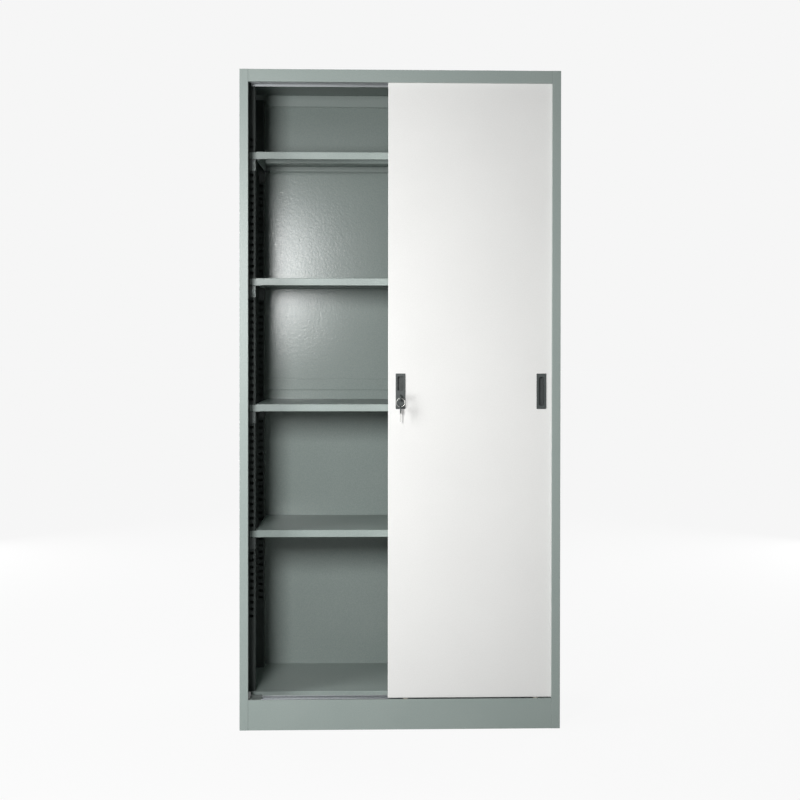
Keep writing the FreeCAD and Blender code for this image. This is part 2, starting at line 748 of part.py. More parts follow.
def lock_barrel():
    """Fixed die-cast sleeve round the plug, with a raised rim."""
    face = FRONT_LANE - DOOR_DEPTH / 2
    span = (face - PLATE_RISE - BARREL_RISE, face + LOCK_DEPTH)
    bore = rod(LOCK_X, PLUG_Z, (span[0] - 1, span[1] + 1), PLUG + PLUG_PLAY)
    return rod(LOCK_X, PLUG_Z, span, BARREL).cut(bore)


def plug_face():
    """Depth of the plug's front face."""
    return FRONT_LANE - DOOR_DEPTH / 2 - PLATE_RISE - BARREL_RISE - PLUG_RISE


def lock_plug():
    """Turning plug with its keyway, and the cam lever on its tail."""
    start = plug_face()
    tail = FRONT_LANE - DOOR_DEPTH / 2 + LOCK_DEPTH + CAM_GAP
    core = rod(LOCK_X, PLUG_Z, (start, tail), PLUG)
    cam_y = (tail, tail + CAM)
    lever = block((LOCK_X - CAM_WIDTH / 2, LOCK_X + CAM_WIDTH / 2), cam_y, (PLUG_Z, PLUG_Z + CAM_LENGTH))
    cam = join([rod(LOCK_X, PLUG_Z, cam_y, CAM_WIDTH / 2), lever])
    keyway = middle_block(LOCK_X, PLUG_Z, (start - 1, start + KEY_BLADE_LENGTH + KEYWAY_PLAY),
                          KEY + 2 * KEYWAY_PLAY, KEY_BLADE + 2 * KEYWAY_PLAY)
    return join([core, cam]).cut(keyway)


def key_blade():
    """Flat steel of a key in its own frame: the head's round end about the origin, the blade towards +Y."""
    half = KEY / 2
    edge = KEY_BLADE / 2
    root = KEY_HEAD_LENGTH - KEY_HEAD_RADIUS
    tip = root + KEY_NECK + KEY_BLADE_LENGTH
    blade = block((-half, half), (root - KEY_TANG, tip), (-edge, edge))
    step = KEY_BLADE_LENGTH / (KEY_CUTS + 1)
    cuts = []
    for i in range(KEY_CUTS):
        y = tip - (i + 0.5) * step
        bottom = edge - KEY_CUT * (1 + i % 2) / 2
        cuts.append(filled([(y - step / 2, edge), (y, bottom), (y + step / 2, edge)], "x", (-half, half)))
    return blade.cut(Part.Compound(cuts))


def key_grip():
    """Moulded head of a key in the same frame, with a socket for the tang and an eye for the ring."""
    half = KEY_HEAD / 2
    root = KEY_HEAD_LENGTH - KEY_HEAD_RADIUS
    far = root - KEY_HEAD_RADIUS
    ends = [Part.makeCylinder(KEY_HEAD_RADIUS, KEY_HEAD, V(-half, y, 0), X_AXIS) for y in (0, far)]
    middle = block((-half, half), (0, far), (-KEY_HEAD_RADIUS, KEY_HEAD_RADIUS))
    eye = Part.makeCylinder(KEY_EYE, KEY_HEAD, V(-half, -KEY_EYE_OUT, 0), X_AXIS)
    socket = middle_block(0, 0, (root - KEY_TANG - KEY_HEAD_PLAY, root + 1),
                          KEY + 2 * KEY_HEAD_PLAY, KEY_BLADE + 2 * KEY_HEAD_PLAY)
    return join(ends + [middle]).cut(Part.Compound([eye, socket]))


def head_depth():
    """Depth of the round end's middle, with the key pushed home."""
    return plug_face() - KEY_NECK - KEY_HEAD_LENGTH + KEY_HEAD_RADIUS


def ring_top():
    """Middle of the ring's wire where it hangs in the eye of the key in the lock."""
    return V(LOCK_X, head_depth() - KEY_EYE_OUT, PLUG_Z - RING_DROP)


def in_the_lock(shape):
    """A piece of a key moved into the plug, edge on to the front."""
    shape.translate(V(LOCK_X, head_depth(), PLUG_Z))
    return shape


def on_the_ring(shape):
    """A piece of a key turned blade down and hung from the bottom of the ring."""
    shape.rotate(V(0, 0, 0), X_AXIS, -90)
    wire = ring_top()
    shape.translate(V(wire.x, wire.y, wire.z - 2 * RING_RADIUS - RING_DROP - KEY_EYE_OUT))
    return shape


def key_ring():
    """Flat-wire ring hanging from the key's head."""
    wire = ring_top()
    span = (wire.y - RING_WIRE, wire.y + RING_WIRE)
    hoop = rod(wire.x, wire.z - RING_RADIUS, span, RING_RADIUS + RING_WIRE)
    return hoop.cut(rod(wire.x, wire.z - RING_RADIUS, span, RING_RADIUS - RING_WIRE))


def lock_bolt():
    """Square bar behind the plate that shoots into the rear door."""
    face = FRONT_LANE - DOOR_DEPTH / 2
    bar = middle_block(LOCK_X, BOLT_Z, (face + BOLT_START, face + BOLT_END), BOLT_WIDTH, BOLT_HEIGHT)
    nose = [e for e in bar.Edges if e.BoundBox.YMin > face + BOLT_END - BOLT_PLAY]
    return bar.makeChamfer(BOLT_HEIGHT / 8, nose)


def strike_plate():
    """Steel plate on the rear door's face, slotted for the bolt."""
    face = REAR_LANE - DOOR_DEPTH / 2
    span = (face - STRIKE, face)
    plate = face_block(PULL_X, BOLT_Z, span, STRIKE_WIDTH, STRIKE_HEIGHT, STRIKE_CORNER)
    return plate.cut(strike_slot((span[0] - 1, span[1] + 1)))


def carcass_nodes():
    """Everything that stays put, by name."""
    nodes = {
        "left_side_panel": side_panel(-1),
        "right_side_panel": side_panel(1),
        "top_panel": top_panel(),
        "plinth": plinth(),
        "bottom_deck": bottom_deck(),
        "bottom_track": bottom_track(),
        "top_track": top_track(),
        "track_stops": track_stops(),
        "lower_back_panel": back_panel(BACK_EDGE, BACK_JOINT_HEIGHT - SHEET / 2 - PANEL_GAP),
        "upper_back_panel": back_panel(BACK_JOINT_HEIGHT + SHEET / 2 + PANEL_GAP, HEIGHT - PANEL_GAP),
        "back_joint_strip": back_joint_strip(),
        "shelf_stiffeners": shelf_stiffeners(),
        "shelf_clips": shelf_clips(),
    }
    for place, front in (("front", UPRIGHT_FRONT), ("rear", UPRIGHT_REAR)):
        for name, hand in (("left", -1), ("right", 1)):
            nodes[place + "_" + name + "_upright"] = upright(hand, front)
    for number, top in enumerate(reversed(SHELF_TOPS), 1):
        nodes["shelf_" + str(number)] = shelf(top)
    return nodes


def door_nodes(door):
    """The pieces that both doors have, by name."""
    nodes = {
        door + "_door_panel": door_panel(door),
        door + "_door_stiffener": door_stiffener(door),
        door + "_door_guides": top_guides(door),
        door + "_door_roller_brackets": roller_brackets(door),
        door + "_door_pull": pull(door, PULL_X if door == "front" else LOCK_X),
    }
    for name, x in zip(("left", "right"), roller_places()):
        nodes[door + "_" + name + "_roller"] = roller(door, x)
    return nodes


def lock_nodes():
    """The lock on the front door, its keys, and the strike on the rear door."""
    return {
        "lock_housing": lock_housing(),
        "lock_barrel": lock_barrel(),
        "lock_plug": lock_plug(),
        "lock_bolt": lock_bolt(),
        "key": in_the_lock(key_blade()),
        "key_head": in_the_lock(key_grip()),
        "key_ring": key_ring(),
        "spare_key": on_the_ring(key_blade()),
        "spare_key_head": on_the_ring(key_grip()),
        "strike_plate": strike_plate(),
    }


os.makedirs("parts", exist_ok=True)
everything = carcass_nodes() | door_nodes("front") | door_nodes("rear") | lock_nodes()
for node, shape in everything.items():
    shape.exportStep("parts/" + node + ".step")
    print(node, len(shape.Solids), "solids", round(shape.Volume / 1000, 2), "cm3", shape.isValid())
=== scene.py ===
# %% [markdown]
# A grey steel office cupboard with two off-white sliding doors. Its pieces, most of them folded
# from sheet, were drawn and measured in the CAD model, so this lesson loads that model as a
# fixed frame and spends its time on finishes, small fittings and light.

# %% Load the frame
import bmesh
import bpy
import json
import math
from mathutils import Matrix, Vector


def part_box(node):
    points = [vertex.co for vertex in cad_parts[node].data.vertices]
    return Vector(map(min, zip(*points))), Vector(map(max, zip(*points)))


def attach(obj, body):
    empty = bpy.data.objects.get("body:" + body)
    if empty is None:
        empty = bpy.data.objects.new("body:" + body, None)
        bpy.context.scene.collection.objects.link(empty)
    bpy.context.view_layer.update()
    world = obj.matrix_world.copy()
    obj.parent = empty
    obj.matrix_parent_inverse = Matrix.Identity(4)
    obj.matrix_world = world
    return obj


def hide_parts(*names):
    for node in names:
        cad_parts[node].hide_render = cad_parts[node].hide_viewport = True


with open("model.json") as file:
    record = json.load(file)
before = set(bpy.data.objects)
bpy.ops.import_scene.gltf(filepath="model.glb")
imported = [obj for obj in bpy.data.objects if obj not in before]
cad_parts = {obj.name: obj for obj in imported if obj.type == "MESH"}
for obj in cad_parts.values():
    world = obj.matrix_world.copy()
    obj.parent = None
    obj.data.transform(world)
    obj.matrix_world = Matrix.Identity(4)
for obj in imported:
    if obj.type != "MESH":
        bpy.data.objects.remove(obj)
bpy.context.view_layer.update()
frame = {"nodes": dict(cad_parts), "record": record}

MM = 0.001
nodes = frame["nodes"]


# %% [markdown]
# The photograph was taken from chest height, nearly square on and turned a little to the right,
# with a long lens. Finding such a view by eye takes many tries, so the place, turn and lens come
# from fitting known corners of the cupboard to where they lie in the picture. The lens shift
# keeps the sides of the cupboard parallel, as a view camera does.

# %% Camera
PICTURE = 800  # pixels, both ways
FOCAL_PIXELS = 1301.3
MIDDLE_PIXEL = (427.2, 348.6)  # what the lens points at
SENSOR_WIDTH = 36  # mm
CAMERA_PLACE = (-0.0289, -3.8472, 1.1020)
TURN_RIGHT = math.radians(1.625)
LOOK_DOWN = math.radians(0.5)
LEAN = math.radians(0.067)


def new_object(name, data):
    """An object for a mesh, lamp or camera, put into the scene."""
    made = bpy.data.objects.new(name, data)
    bpy.context.scene.collection.objects.link(made)
    return made


lens = bpy.data.cameras.new("view_camera")
lens.sensor_width = SENSOR_WIDTH
lens.lens = FOCAL_PIXELS / PICTURE * SENSOR_WIDTH
lens.shift_x = (PICTURE / 2 - MIDDLE_PIXEL[0]) / PICTURE
lens.shift_y = (MIDDLE_PIXEL[1] - PICTURE / 2) / PICTURE
camera = new_object("view_camera", lens)
camera.matrix_world = (Matrix.Translation(CAMERA_PLACE)
                       @ Matrix.Rotation(-TURN_RIGHT, 4, "Z")
                       @ Matrix.Rotation(math.pi / 2 - LOOK_DOWN, 4, "X")
                       @ Matrix.Rotation(LEAN, 4, "Z"))
bpy.context.scene.camera = camera
print("lens", round(lens.lens, 1), "mm, shift", round(lens.shift_x, 3), round(lens.shift_y, 3))

# %% [markdown]
# A few small helpers serve every finish. Colours are read off as sRGB, which is what a screen
# shows, but shaders add light in linear numbers, so one function converts them. Another adds a
# node, sets it up and links it in a single call, for shader trees and geometry trees alike. The
# last two start a material, and turn a width in millimetres into the scale of a noise.

# %% Helpers for node trees
def linear(code):
    """A colour written as sRGB hex, in the linear numbers that shaders use."""
    parts = [int(code[i:i + 2], 16) / 255 for i in (1, 3, 5)]
    return tuple(p / 12.92 if p <= 0.04045 else ((p + 0.055) / 1.055) ** 2.4
                 for p in parts) + (1.0,)


def add(tree, kind, inputs, **settings):
    """Adds a node to a tree. Each input is a plain value, or another node's socket to link."""
    made = tree.nodes.new(kind)
    for name, value in settings.items():
        setattr(made, name, value)
    for name, value in inputs.items():
        if isinstance(value, bpy.types.NodeSocket):
            tree.links.new(value, made.inputs[name])
        else:
            made.inputs[name].default_value = value
    return made


def new_finish(name):
    """An empty material, with its tree and its output node."""
    finish = bpy.data.materials.new(name)
    finish.use_nodes = True
    tree = finish.node_tree
    tree.nodes.clear()
    return finish, tree, add(tree, "ShaderNodeOutputMaterial", {})


def per_metre(millimetres):
    """Noise scale whose features are about this wide, on coordinates in metres."""
    return 1000 / millimetres


print("linear mid grey:", [round(v, 3) for v in linear("#808080")])

# %% [markdown]
# Polyester powder coat is sprayed on as dust and melted in an oven. It flows almost smooth but
# keeps an orange-peel ripple about three millimetres wide, and this grade has a fine sandy
# texture in it that breaks up reflections. The ripple and the sand are two noises that drive the
# bump, and a slow third one lets the colour drift a little, as thickness does on a real panel.
# Folded pieces have a thin satin coat. The large back panels have a thicker one that shines and
# ripples more, and the slotted uprights a darker one, which is painted shade for the stile's
# shadow.

# %% Powder coat
PEEL_WIDTH = 5.6  # mm, nearly twice the real ripple: drawn coarser, or pixels would swallow it
SAND_WIDTH = 2.5  # mm, coarser than the real grain for the same reason
DRIFT_WIDTH = 220.0  # mm
SAND_DEPTH = 0.12  # mm
GLOSS_SWING = 0.06  # roughness goes this far up and down over the sand
NOISE_RANGE = {"From Min": 0.3, "From Max": 0.7}  # where most values of a noise lie
PAINT_IOR = 1.5


def powder_coat(name, colour, shade, roughness, sheen, peel_depth, sand, fleck):
    """Sandy powder coat between two near colours.

    peel_depth is the ripple's depth in mm, sand is the strength of the grain in the relief,
    and fleck its strength in the colour.
    """
    finish, tree, output = new_finish(name)
    place = add(tree, "ShaderNodeTexCoord", {}).outputs["Object"]
    peel = add(tree, "ShaderNodeTexNoise",
               {"Vector": place, "Scale": per_metre(PEEL_WIDTH), "Detail": 1.0})
    grit = add(tree, "ShaderNodeTexNoise",
               {"Vector": place, "Scale": per_metre(SAND_WIDTH), "Detail": 2.0})
    drift = add(tree, "ShaderNodeTexNoise",
                {"Vector": place, "Scale": per_metre(DRIFT_WIDTH), "Detail": 2.0})
    flecks = add(tree, "ShaderNodeMapRange",
                 {"Value": grit.outputs["Fac"], **NOISE_RANGE, "To Min": -fleck, "To Max": fleck})
    blend = add(tree, "ShaderNodeMath", {0: drift.outputs["Fac"], 1: flecks.outputs["Result"]},
                operation="ADD", use_clamp=True)
    tint = add(tree, "ShaderNodeMix",
               {"Factor": blend.outputs[0], 6: linear(colour), 7: linear(shade)},
               data_type="RGBA")
    gloss = add(tree, "ShaderNodeMapRange",
                {"Value": grit.outputs["Fac"], **NOISE_RANGE,
                 "To Min": roughness - GLOSS_SWING, "To Max": roughness + GLOSS_SWING})
    ripple = add(tree, "ShaderNodeBump",
                 {"Height": peel.outputs["Fac"], "Strength": 1.0, "Distance": peel_depth * MM})
    sandy = add(tree, "ShaderNodeBump",
                {"Height": grit.outputs["Fac"], "Normal": ripple.outputs["Normal"],
                 "Strength": sand, "Distance": SAND_DEPTH * MM})
    shader = add(tree, "ShaderNodeBsdfPrincipled",
                 {"Base Color": tint.outputs[2], "Roughness": gloss.outputs["Result"],
                  "IOR": PAINT_IOR, "Specular IOR Level": sheen,
                  "Normal": sandy.outputs["Normal"]})
    tree.links.new(shader.outputs[0], output.inputs["Surface"])
    return finish


GREY, GREY_SHADE = "#96A09C", "#8C9894"
# Mid grey with a cool green cast, and a soft sheen that fades evenly along stiles and lips.
carcass_paint = powder_coat("satin_grey_powder_coat", GREY, GREY_SHADE, roughness=0.4,
                            sheen=0.36, peel_depth=0.12, sand=0.3, fleck=0.6)
# The same grey, glossier, with a ripple that breaks the sheen on the back into sparkle.
back_paint = powder_coat("glossy_grey_powder_coat", GREY, GREY_SHADE, roughness=0.2,
                         sheen=0.26, peel_depth=0.21, sand=0.3, fleck=0.6)
# Quiet warm white without gleam, so the doors are the lightest thing here.
door_paint = powder_coat("white_powder_coat", "#E9E9E7", "#E3E3E1", roughness=0.5,
                         sheen=0.2, peel_depth=0.12, sand=0.5, fleck=0.3)
# Nearly black grey, painted shade for the stile's shadow on the uprights, in which the slots
# stay hidden until light falls on an edge.
upright_shade_paint = powder_coat("painted_shade_grey_coat", "#4E5452", "#484E4C", roughness=0.5,
                            sheen=0.12, peel_depth=0.12, sand=0.3, fleck=0.4)
coats = (carcass_paint, back_paint, door_paint, upright_shade_paint)
print("powder coats:", [m.name for m in coats])

# %% [markdown]
# The working parts are bare: zinc plate on the tracks and brackets, nickel on the lock and keys,
# nylon on rollers and sliders, rubber on the stops, and moulded plastic on the pulls. Zinc has a
# cloudy crystal pattern, nickel has a faint mottle from handling, and moulded plastic has a fine
# leather-like grain, so one function covers them with a cloud, a grain and a bump.

# %% Bare metals and plastics
GRAIN_DEPTH = 0.1  # mm
DULL_SHARE, SHINY_SHARE = 1.2, 0.8  # of the roughness, between the two ends of the clouds


def plain_stuff(name, colour, shade, metallic, roughness, cloud, grain, relief):
    """Two near colours in clouds of one width in mm, and a grain of another in the relief."""
    finish, tree, output = new_finish(name)
    place = add(tree, "ShaderNodeTexCoord", {}).outputs["Object"]
    patches = add(tree, "ShaderNodeTexNoise",
                  {"Vector": place, "Scale": per_metre(cloud), "Detail": 3.0})
    pits = add(tree, "ShaderNodeTexNoise",
               {"Vector": place, "Scale": per_metre(grain), "Detail": 2.0})
    tint = add(tree, "ShaderNodeMix",
               {"Factor": patches.outputs["Fac"], 6: linear(colour), 7: linear(shade)},
               data_type="RGBA")
    gloss = add(tree, "ShaderNodeMapRange",
                {"Value": patches.outputs["Fac"], **NOISE_RANGE,
                 "To Min": roughness * SHINY_SHARE, "To Max": roughness * DULL_SHARE})
    bump = add(tree, "ShaderNodeBump",
               {"Height": pits.outputs["Fac"], "Strength": relief, "Distance": GRAIN_DEPTH * MM})
    shader = add(tree, "ShaderNodeBsdfPrincipled",
                 {"Base Color": tint.outputs[2], "Roughness": gloss.outputs["Result"],
                  "Metallic": metallic, "Normal": bump.outputs["Normal"]})
    tree.links.new(shader.outputs[0], output.inputs["Surface"])
    return finish


# Cool silver with faint clouds, a dull gleam along the tracks.
zinc = plain_stuff("zinc_plated_steel", "#999C9E", "#828688",
                   metallic=1.0, roughness=0.38, cloud=6.0, grain=1.5, relief=0.15)
# Grey metal darker than nickel's own colour: painted shade for the dark surroundings that the
# lock mirrors, so the lock is a dark plate on the white door.
nickel = plain_stuff("painted_shade_nickel_casting", "#70726F", "#646663",
                     metallic=1.0, roughness=0.28, cloud=5.0, grain=0.8, relief=0.08)
# Clean silver with small hard glints, by which the thin key blades stand out from the door.
bright_nickel = plain_stuff("bright_nickel_plate", "#D2D2CE", "#BEBEBA",
                            metallic=1.0, roughness=0.22, cloud=5.0, grain=0.8, relief=0.06)
# Drawn steel, softer than plate and darker: painted shade for the dark surroundings that the
# ring mirrors, a light grey line round the key.
ring_wire = plain_stuff("painted_shade_steel_wire", "#989894", "#888884",
                        metallic=1.0, roughness=0.32, cloud=5.0, grain=0.8, relief=0.06)
# Milky and a little waxy, the colour of rollers that have never been dyed.
nylon = plain_stuff("natural_nylon", "#E4E0D4", "#D8D3C4",
                    metallic=0.0, roughness=0.45, cloud=12.0, grain=1.2, relief=0.15)
# Dead matt grey, which keeps the stops out of sight beside the paint.
rubber = plain_stuff("grey_rubber", "#6F7673", "#666D6A",
                     metallic=0.0, roughness=0.75, cloud=9.0, grain=1.0, relief=0.4)
# Near black with a fine grain that spreads every highlight, so the finger pulls look deep.
grained_plastic = plain_stuff("grained_dark_plastic", "#353C3B", "#2B3130",
                              metallic=0.0, roughness=0.48, cloud=7.0, grain=0.9, relief=0.35)
bare = (zinc, nickel, bright_nickel, ring_wire, nylon, rubber, grained_plastic)
print("bare finishes:", [m.name for m in bare])

# %% [markdown]
# On the real cupboard each piece reaches the assembly line already finished, so every node of the
# frame gets one whole finish. The record says which slot a piece belongs to, and a table from
# slot to finish is enough. The back leaves its slot's finish for a glossier coat, and the
# uprights leave theirs for a darker coat that is painted shade.

# %% Finish every piece of the frame
FINISHES = {
    "carcass_paint": carcass_paint, "door_paint": door_paint, "bright_steel": zinc,
    "rubber": rubber, "nylon": nylon, "dark_plastic": grained_plastic,
    "lock_metal": nickel, "key_steel": bright_nickel,
}
BACK = ("lower_back_panel", "upper_back_panel", "back_joint_strip")
subparts = frame["record"]["subparts"]
for part in subparts:
    finish = FINISHES[part["material_slot"]]
    if part["node"] in BACK:
        finish = back_paint
    elif part["node"].endswith("upright"):
        # painted shade: a darker coat for the stile's shadow on the uprights
        finish = upright_shade_paint
    mesh = nodes[part["node"]].data
    mesh.materials.clear()
    mesh.materials.append(finish)
print("finished nodes:", len(subparts))

# %% [markdown]
# The shelf clips and the lock cylinder are plated like the tracks, but darker. The dark plating
# is painted shade, for the stile's shadow over the clips and for the dark reflection in the
# cylinder's face, so that only a glint on an edge gives them away. It is a finish of its own on
# pieces that the frame already has, and it could be a ninth slot, but one more finish on three
# nodes is simpler.

# %% Shelf clips and lock cylinder
# Dark pewter, painted shade that leaves these pieces almost lost in the shadow.
shade_darkened_zinc = plain_stuff("painted_shade_zinc_plate", "#4C504F", "#404443",
                        metallic=1.0, roughness=0.42, cloud=6.0, grain=1.5, relief=0.15)
PAINTED_SHADE_PIECES = ("shelf_clips", "lock_plug", "lock_barrel")
# painted shade on the shelf clips and the lock cylinder
for name in PAINTED_SHADE_PIECES:
    nodes[name].data.materials[0] = shade_darkened_zinc
print("dark plated:", len(PAINTED_SHADE_PIECES), "nodes in", shade_darkened_zinc.name)

# %% [markdown]
# A cut edge of thin sheet is sharp, so the lower edges of the rear flanges, on the roof and on
# every shelf, are folded back on themselves into a hem. Seen from below it is a bright line with
# a dark one under it. The hem has a drop-shaped section, so a few points along that drop, drawn
# out over the width, are enough, and one mesh holds them all.

# %% Folded hems
SHEET = 0.8 * MM
HEM_ROUND, HEM_TAIL = 1.3 * MM, 4.5 * MM
HEM_TURNS = [math.radians(a) for a in range(180, 361, 30)]
ROOF_HALF, SHELF_HALF = 0.424, 0.412  # half the length of each hem, in metres


def drawn_hem(mesh, half_width, flange_face, bottom):
    """Adds a hem that lies on the front of a flange, with its round edge at the bottom."""
    y, z = flange_face - HEM_ROUND, bottom + HEM_ROUND
    drop = [(y + HEM_ROUND * math.cos(a), z + HEM_ROUND * math.sin(a)) for a in HEM_TURNS]
    drop += [(flange_face, bottom + HEM_TAIL), (flange_face - SHEET, bottom + HEM_TAIL)]
    ends = [[mesh.verts.new((x, y, z)) for y, z in drop] for x in (-half_width, half_width)]
    for i in range(len(drop)):
        j = (i + 1) % len(drop)
        mesh.faces.new((ends[0][i], ends[0][j], ends[1][j], ends[1][i]))
    mesh.faces.new(ends[0])
    mesh.faces.new(ends[1])


hem_mesh = bmesh.new()
hemmed = {"top_panel": ROOF_HALF, "shelf_1": SHELF_HALF, "shelf_2": SHELF_HALF,
          "shelf_3": SHELF_HALF, "shelf_4": SHELF_HALF}
for name, half_width in hemmed.items():
    low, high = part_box(name)
    drawn_hem(hem_mesh, half_width, high[1] - SHEET, low[2])
bmesh.ops.recalc_face_normals(hem_mesh, faces=hem_mesh.faces)
hems = new_object("folded_hems", bpy.data.meshes.new("folded_hems"))
hem_mesh.to_mesh(hems.data)
hem_mesh.free()
hems.data.materials.append(carcass_paint)
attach(hems, "carcass")
print("hems:", len(hemmed), "faces:", len(hems.data.polygons))

# %% [markdown]
# Rivets and wound wire follow a rule more than a drawing, so they are grown by Geometry Nodes. A
# tree could stay on as a modifier, but the frame needs plain meshes that ride on a body, so one
# function makes a tree with named sizes and another runs it and keeps the result.

# %% Helpers for Geometry Nodes
def new_tree(name, sizes):
    """An empty geometry tree with one named input for each size, and its input sockets."""
    tree = bpy.data.node_groups.new(name, "GeometryNodeTree")
    tree.interface.new_socket("Geometry", in_out="OUTPUT", socket_type="NodeSocketGeometry")
    for label, value in sizes.items():
        kind = "NodeSocketInt" if isinstance(value, int) else "NodeSocketFloat"
        socket = tree.interface.new_socket(label, in_out="INPUT", socket_type=kind)
        socket.default_value = value
    return tree, add(tree, "NodeGroupInput", {}).outputs


def grown_piece(name, tree, shape, finish, sizes, body):
    """Ends a tree, runs it with these sizes, and keeps the result as a plain mesh on a body."""
    real = add(tree, "GeometryNodeRealizeInstances", {"Geometry": shape})
    smooth = add(tree, "GeometryNodeSetShadeSmooth", {"Geometry": real.outputs[0]})
    coated = add(tree, "GeometryNodeSetMaterial",
                 {"Geometry": smooth.outputs[0], "Material": finish})
    add(tree, "NodeGroupOutput", {"Geometry": coated.outputs[0]})
    grower = new_object(name + "_grower", bpy.data.meshes.new(name + "_grower"))
    modifier = grower.modifiers.new("grow", "NODES")
    modifier.node_group = tree
    for socket in tree.interface.items_tree:
        if socket.in_out == "INPUT":
            modifier[socket.identifier] = sizes[socket.name]
    grown = grower.evaluated_get(bpy.context.evaluated_depsgraph_get())
    mesh = bpy.data.meshes.new_from_object(grown)
    bpy.data.objects.remove(grower)
    mesh.name = name
    mesh.materials.clear()
    mesh.materials.append(finish)
    piece = new_object(name, mesh)
    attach(piece, body)
    return piece


def triangles(piece):
    """How many triangles a piece's faces come to."""
    return sum(len(face.vertices) - 2 for face in piece.data.polygons)


print("ready to grow pieces")

# %% [markdown]
# The back panels are held by blind rivets, each a low dome with a flat underside. A dome could be
# a profile that is spun. Here it is a sphere that is pressed flat, with its lower half pushed up
# to the sheet, which needs no profile.

# %% One rivet head
RIVETS = {"Head Radius": 3.4 * MM, "Head Height": 0.65 * MM, "Width": 834 * MM,
          "Height": 1790 * MM, "Rows": 13, "Columns": 7}
SEAT_DEPTH = 0.02 * MM  # how far the flat side goes into the sheet
tree, size = new_tree("rivet_edge", RIVETS)
ball = add(tree, "GeometryNodeMeshUVSphere",
           {"Segments": 14, "Rings": 8, "Radius": size["Head Radius"]})
flatness = add(tree, "ShaderNodeMath", {0: size["Head Height"], 1: size["Head Radius"]},
               operation="DIVIDE")
press = add(tree, "ShaderNodeCombineXYZ", {"X": 1.0, "Y": flatness.outputs[0], "Z": 1.0})
pressed = add(tree, "GeometryNodeTransform",
              {"Geometry": ball.outputs["Mesh"], "Scale": press.outputs[0]})
position = add(tree, "GeometryNodeInputPosition", {})
spot = add(tree, "ShaderNodeSeparateXYZ", {0: position.outputs[0]})
above = add(tree, "ShaderNodeMath", {0: spot.outputs["Y"], 1: -SEAT_DEPTH}, operation="MAXIMUM")
flat_side = add(tree, "ShaderNodeCombineXYZ",
                {"X": spot.outputs["X"], "Y": above.outputs[0], "Z": spot.outputs["Z"]})
head = add(tree, "GeometryNodeSetPosition",
           {"Geometry": pressed.outputs[0], "Position": flat_side.outputs[0]})
print("rivet head:", round(2 * RIVETS["Head Radius"] / MM, 2), "mm wide")

# %% [markdown]
# The rivets run round the edge of the whole back. Each could be placed by hand, but they repeat,
# so the same tree sets the head on the points of two grids: the side columns, and the rows at the
# top and the bottom.

# %% Back rivets
ROW_SHARE = 0.75  # of the width between the side columns
MIDDLE_HEIGHT = 0.951  # metres above the floor
panel_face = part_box("upper_back_panel")[1][1]
sides = add(tree, "GeometryNodeMeshGrid",
            {"Size X": size["Width"], "Size Y": size["Height"],
             "Vertices X": 2, "Vertices Y": size["Rows"]})
row = add(tree, "ShaderNodeMath", {0: size["Width"], 1: ROW_SHARE}, operation="MULTIPLY")
ends = add(tree, "GeometryNodeMeshGrid",
           {"Size X": row.outputs[0], "Size Y": size["Height"],
            "Vertices X": size["Columns"], "Vertices Y": 2})
both = add(tree, "GeometryNodeJoinGeometry", {"Geometry": sides.outputs["Mesh"]})
tree.links.new(ends.outputs["Mesh"], both.inputs["Geometry"])
stood_up = add(tree, "GeometryNodeTransform",
               {"Geometry": both.outputs[0], "Rotation": (math.pi / 2, 0, 0),
                "Translation": (0, panel_face, MIDDLE_HEIGHT)})
heads = add(tree, "GeometryNodeInstanceOnPoints",
            {"Points": stood_up.outputs[0], "Instance": head.outputs[0]})
rivets = grown_piece("back_rivets", tree, heads.outputs[0], zinc, RIVETS,
                     "carcass")
print("rivets:", 2 * (RIVETS["Rows"] + RIVETS["Columns"]), "triangles:", triangles(rivets))

# %% [markdown]
# A split key ring is one wire wound nearly twice round, with a step half way where it changes
# from the first coil to the second. The CAD model has a plain hoop of the same size for contact.
# A spiral curve gives the winding, a smooth step in its height gives the change of coil, and an
# oval profile is swept along it, since ring wire is rolled flat.

# %% Split key ring
WIRE = 0.4 * MM  # half the thickness of the wire
FLATTENED = 2.0  # width of the wire over its thickness
STEP_START, STEP_END = 0.485, 0.515  # share of the wire's length where it changes coil
low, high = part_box("key_ring")
middle = [(a + b) / 2 for a, b in zip(low, high)]
RING = {"Radius": (high[0] - low[0]) / 2 - FLATTENED * WIRE, "Wire": WIRE, "Turns": 1.88}
tree, size = new_tree("split_ring", RING)
winding = add(tree, "GeometryNodeCurveSpiral",
              {"Resolution": 48, "Rotations": size["Turns"], "Start Radius": size["Radius"],
               "End Radius": size["Radius"], "Height": 0.0})
along = add(tree, "GeometryNodeSplineParameter", {})
down = add(tree, "ShaderNodeMath", {0: size["Wire"], 1: -1.0}, operation="MULTIPLY")
step = add(tree, "ShaderNodeMapRange",
           {"Value": along.outputs["Factor"], "From Min": STEP_START, "From Max": STEP_END,
            "To Min": down.outputs[0], "To Max": size["Wire"]}, interpolation_type="SMOOTHSTEP")
lift = add(tree, "ShaderNodeCombineXYZ", {"Z": step.outputs["Result"]})
coils = add(tree, "GeometryNodeSetPosition",
            {"Geometry": winding.outputs[0], "Offset": lift.outputs[0]})
wire = add(tree, "GeometryNodeCurvePrimitiveCircle", {"Resolution": 10, "Radius": size["Wire"]})
strip = add(tree, "GeometryNodeTransform",
            {"Geometry": wire.outputs[0], "Scale": (FLATTENED, 1.0, 1.0)})
swept = add(tree, "GeometryNodeCurveToMesh",
            {"Curve": coils.outputs[0], "Profile Curve": strip.outputs[0], "Fill Caps": True})
hung = add(tree, "GeometryNodeTransform",
           {"Geometry": swept.outputs[0], "Rotation": (math.pi / 2, 0, 0),
            "Translation": middle})
ring = grown_piece("split_key_ring", tree, hung.outputs[0], ring_wire, RING,
                   "key_ring")
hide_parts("key_ring")
